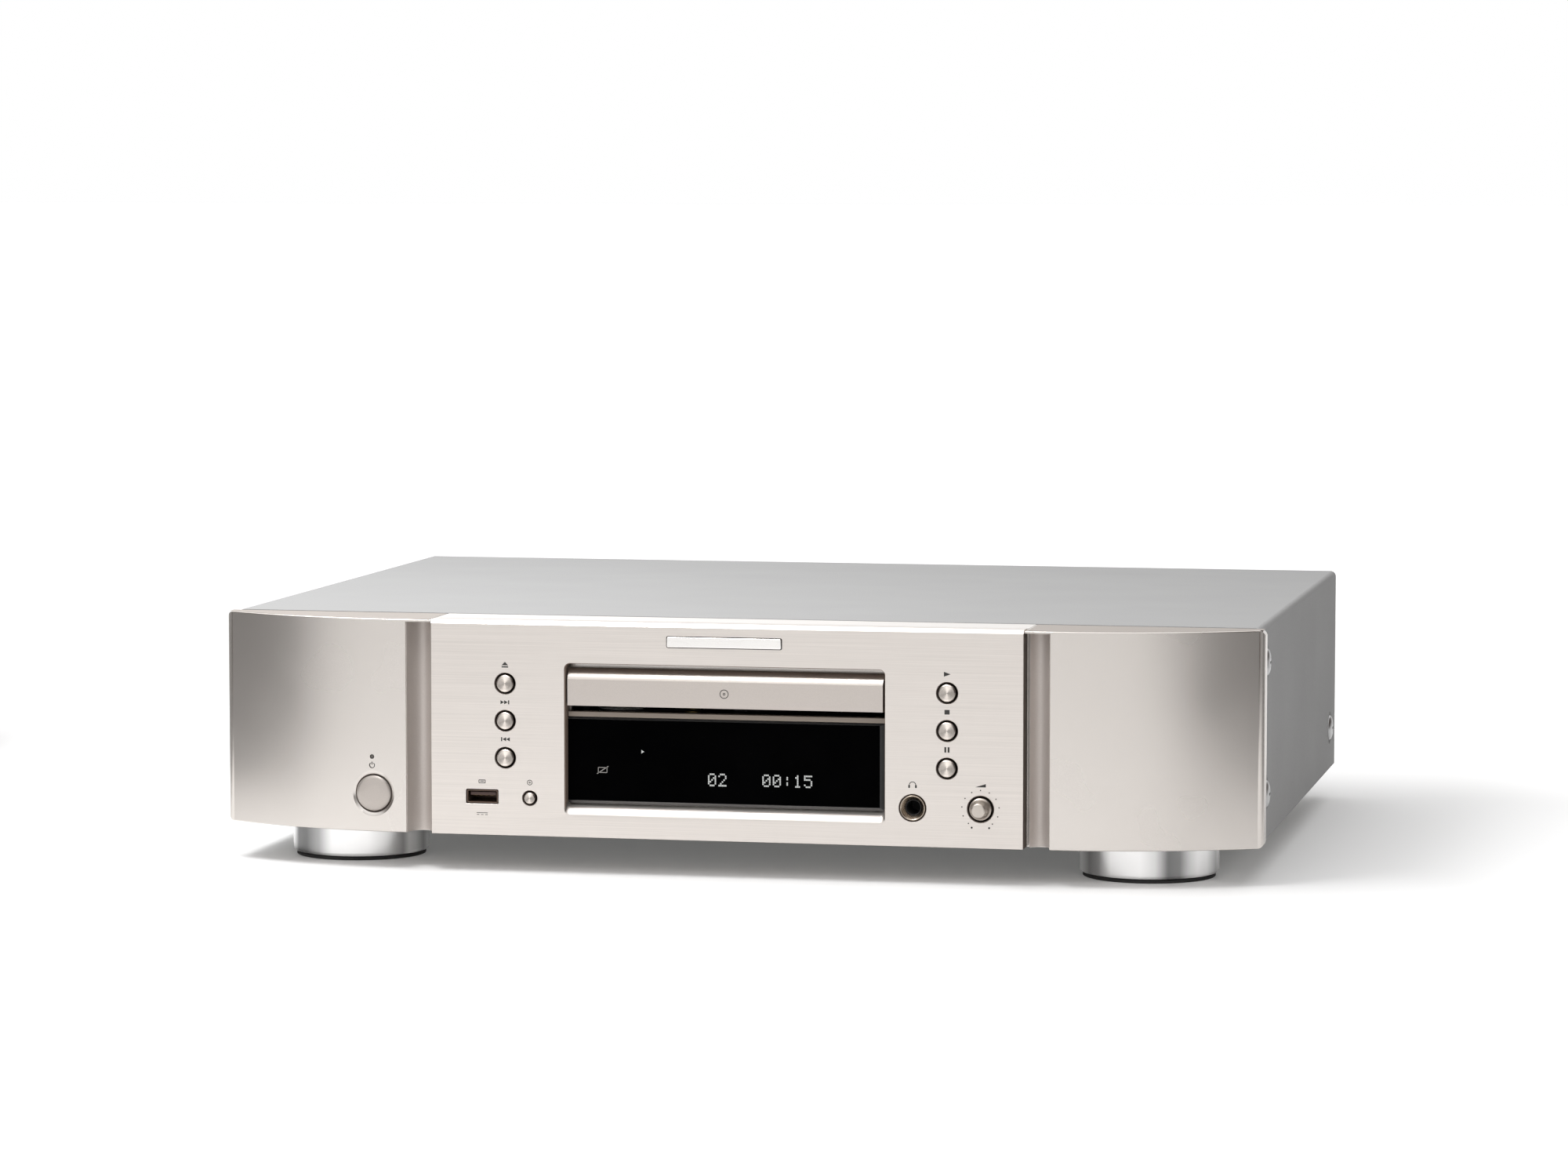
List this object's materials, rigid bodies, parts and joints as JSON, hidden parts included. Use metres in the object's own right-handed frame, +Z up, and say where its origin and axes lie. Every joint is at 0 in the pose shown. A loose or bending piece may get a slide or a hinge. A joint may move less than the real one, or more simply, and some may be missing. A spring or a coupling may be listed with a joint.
{
  "type": "cd player",
  "caption": "Full-width hi-fi CD player with a sliding disc tray, dark display window, push buttons, headphone level knob and rear sockets.",
  "frame": {"origin": "on the table under the middle of the player's overall box", "axes": "+Z up, the front faces -Y, +X to the right seen from the front"},
  "size_m": [0.44, 0.341, 0.105],
  "materials": {
    "zinc_steel": "plain zinc-plated steel",
    "cover_paint": "fine-textured satin silver grey",
    "bright_screw": "bright nickel",
    "rear_paint": "satin black",
    "foot_plating": "bright plated",
    "foot_rubber": "matte",
    "fascia_paint": "satin champagne silver",
    "plate_aluminium": "horizontally brushed, champagne silver",
    "button_metal": "turned face",
    "power_button_paint": "satin champagne silver",
    "led_lens": "smoked",
    "knob_metal": "satin",
    "potentiometer_case": "moulded",
    "jack_nickel": "nickel",
    "usb_steel": "plated steel",
    "shelf_paint": "dark champagne paint",
    "display_black": "polished black filter",
    "tube_glass": "dark glass",
    "board_green": "green solder resist",
    "tray_plastic": "black moulded",
    "door_aluminium": "satin champagne silver",
    "frame_plastic": "black moulded",
    "gear_plastic": "natural acetal",
    "pulley_brass": "turned",
    "belt_rubber": "matte",
    "motor_can": "plated can",
    "traverse_steel": "pressed",
    "motor_can_spindle": "plated can",
    "hub_plastic": "black moulded",
    "rail_steel": "ground",
    "pickup_black": "black moulded with a glass lens",
    "feed_gear_plastic": "natural acetal",
    "bridge_steel": "pressed",
    "clamper_plastic": "white moulded",
    "board_brown": "green solder resist",
    "board_tan": "tan phenolic",
    "core_laminations": "varnished laminations",
    "winding_tape": "yellow tape over copper",
    "capacitor_sleeve": "shrink sleeve",
    "socket_gold": "gold plated",
    "socket_plastic": "black moulded",
    "inlet_plastic": "black moulded"
  },
  "bodies": {
    "case": {"bottom_chassis": "zinc_steel", "rear_panel": "rear_paint", "top_cover": "cover_paint", "front_fascia": "fascia_paint", "centre_panel": "plate_aluminium", "window_shelf": "shelf_paint", "display_window": "display_black", "display_tube": "tube_glass", "front_circuit_board": "board_green", "power_led": "led_lens", "phones_jack": "jack_nickel", "usb_port": "usb_steel", "level_potentiometer": "potentiometer_case", "loader_frame": "frame_plastic", "drive_belt": "belt_rubber", "loading_motor": "motor_can", "clamp_bridge": "bridge_steel", "mainboard": "board_brown", "power_board": "board_tan", "transformer_core": "core_laminations", "transformer_winding": "winding_tape", "filter_capacitor": "capacitor_sleeve", "analogue_output_jacks": "socket_gold", "digital_output_jack": "socket_gold", "optical_output_jack": "socket_plastic", "ac_inlet": "inlet_plastic", "foot_front_left": "foot_plating", "foot_front_right": "foot_plating", "foot_rear_left": "foot_plating", "foot_rear_right": "foot_plating", "foot_pad_front_left": "foot_rubber", "foot_pad_front_right": "foot_rubber", "foot_pad_rear_left": "foot_rubber", "foot_pad_rear_right": "foot_rubber", "side_screw_left_front_upper": "bright_screw", "side_screw_left_front_lower": "bright_screw", "side_screw_left_rear_lower": "bright_screw", "side_screw_right_front_upper": "bright_screw", "side_screw_right_front_lower": "bright_screw", "side_screw_right_rear_lower": "bright_screw"},
    "disc_tray": {"disc_tray": "tray_plastic", "tray_door": "door_aluminium"},
    "loading_gear": {"loading_gear": "gear_plastic"},
    "motor_pulley": {"motor_pulley": "pulley_brass"},
    "traverse": {"traverse_plate": "traverse_steel", "spindle_motor": "motor_can_spindle", "guide_rail": "rail_steel"},
    "turntable": {"turntable": "hub_plastic"},
    "optical_pickup": {"optical_pickup": "pickup_black"},
    "feed_gear": {"feed_gear": "feed_gear_plastic"},
    "disc_clamper": {"disc_clamper": "clamper_plastic"},
    "level_knob": {"level_knob": "knob_metal"},
    "power_button": {"power_button": "power_button_paint"},
    "eject_button": {"eject_button": "button_metal"},
    "skip_forward_button": {"skip_forward_button": "button_metal"},
    "skip_back_button": {"skip_back_button": "button_metal"},
    "input_button": {"input_button": "button_metal"},
    "play_button": {"play_button": "button_metal"},
    "stop_button": {"stop_button": "button_metal"},
    "pause_button": {"pause_button": "button_metal"}
  },
  "joints": [
    {"name": "eject_button_press", "type": "slide", "parent": "case", "child": "eject_button", "axis": [0, 1, 0], "range_m": [0, 0.0008], "stiffness_N_per_m": 1200, "springref_m": -0.0004},
    {"name": "skip_forward_button_press", "type": "slide", "parent": "case", "child": "skip_forward_button", "axis": [0, 1, 0], "range_m": [0, 0.0008], "stiffness_N_per_m": 1200, "springref_m": -0.0004},
    {"name": "skip_back_button_press", "type": "slide", "parent": "case", "child": "skip_back_button", "axis": [0, 1, 0], "range_m": [0, 0.0008], "stiffness_N_per_m": 1200, "springref_m": -0.0004},
    {"name": "input_button_press", "type": "slide", "parent": "case", "child": "input_button", "axis": [0, 1, 0], "range_m": [0, 0.0008], "stiffness_N_per_m": 1200, "springref_m": -0.0004},
    {"name": "play_button_press", "type": "slide", "parent": "case", "child": "play_button", "axis": [0, 1, 0], "range_m": [0, 0.0008], "stiffness_N_per_m": 1200, "springref_m": -0.0004},
    {"name": "stop_button_press", "type": "slide", "parent": "case", "child": "stop_button", "axis": [0, 1, 0], "range_m": [0, 0.0008], "stiffness_N_per_m": 1200, "springref_m": -0.0004},
    {"name": "pause_button_press", "type": "slide", "parent": "case", "child": "pause_button", "axis": [0, 1, 0], "range_m": [0, 0.0008], "stiffness_N_per_m": 1200, "springref_m": -0.0004},
    {"name": "power_button_press", "type": "slide", "parent": "case", "child": "power_button", "axis": [0, 1, 0], "range_m": [0, 0.0015], "stiffness_N_per_m": 900, "springref_m": -0.0006},
    {"name": "level_knob_turn", "type": "hinge", "parent": "case", "child": "level_knob", "pos_m": [0.107, -0.1645, 0.0316], "axis": [0, 1, 0], "range_deg": [-150, 150]},
    {"name": "tray_slide", "type": "slide", "parent": "case", "child": "disc_tray", "axis": [0, -1, 0], "range_m": [0, 0.132]},
    {"name": "loading_gear_spin", "type": "hinge", "parent": "case", "child": "loading_gear", "pos_m": [-0.052, -0.1265, 0.068], "axis": [0, 0, -1], "range_deg": [0, 1082]},
    {"name": "motor_pulley_spin", "type": "hinge", "parent": "case", "child": "motor_pulley", "pos_m": [-0.022, -0.1225, 0.064], "axis": [0, 0, -1], "range_deg": [0, 3200]},
    {"name": "traverse_tilt", "type": "hinge", "parent": "case", "child": "traverse", "pos_m": [0, -0.0085, 0.06175], "axis": [1, 0, 0], "range_deg": [0, 4.5]},
    {"name": "turntable_spin", "type": "hinge", "parent": "traverse", "child": "turntable", "pos_m": [0, -0.0945, 0.0746], "axis": [0, 0, 1], "continuous": true},
    {"name": "pickup_slide", "type": "slide", "parent": "traverse", "child": "optical_pickup", "axis": [0, 1, 0], "range_m": [0, 0.034]},
    {"name": "feed_gear_spin", "type": "hinge", "parent": "traverse", "child": "feed_gear", "pos_m": [0.021, -0.0645, 0.0672], "axis": [0, 0, -1], "range_deg": [0, 279]},
    {"name": "disc_clamper_spin", "type": "hinge", "parent": "case", "child": "disc_clamper", "pos_m": [0, -0.0945, 0.0866], "axis": [0, 0, 1], "continuous": true}
  ],
  "couplings": [
    {"joint": "loading_gear_spin", "follows": "tray_slide", "rad_per_m": 142.86},
    {"joint": "motor_pulley_spin", "follows": "tray_slide", "rad_per_m": 419.05},
    {"joint": "feed_gear_spin", "follows": "pickup_slide", "rad_per_m": 142.86}
  ]
}
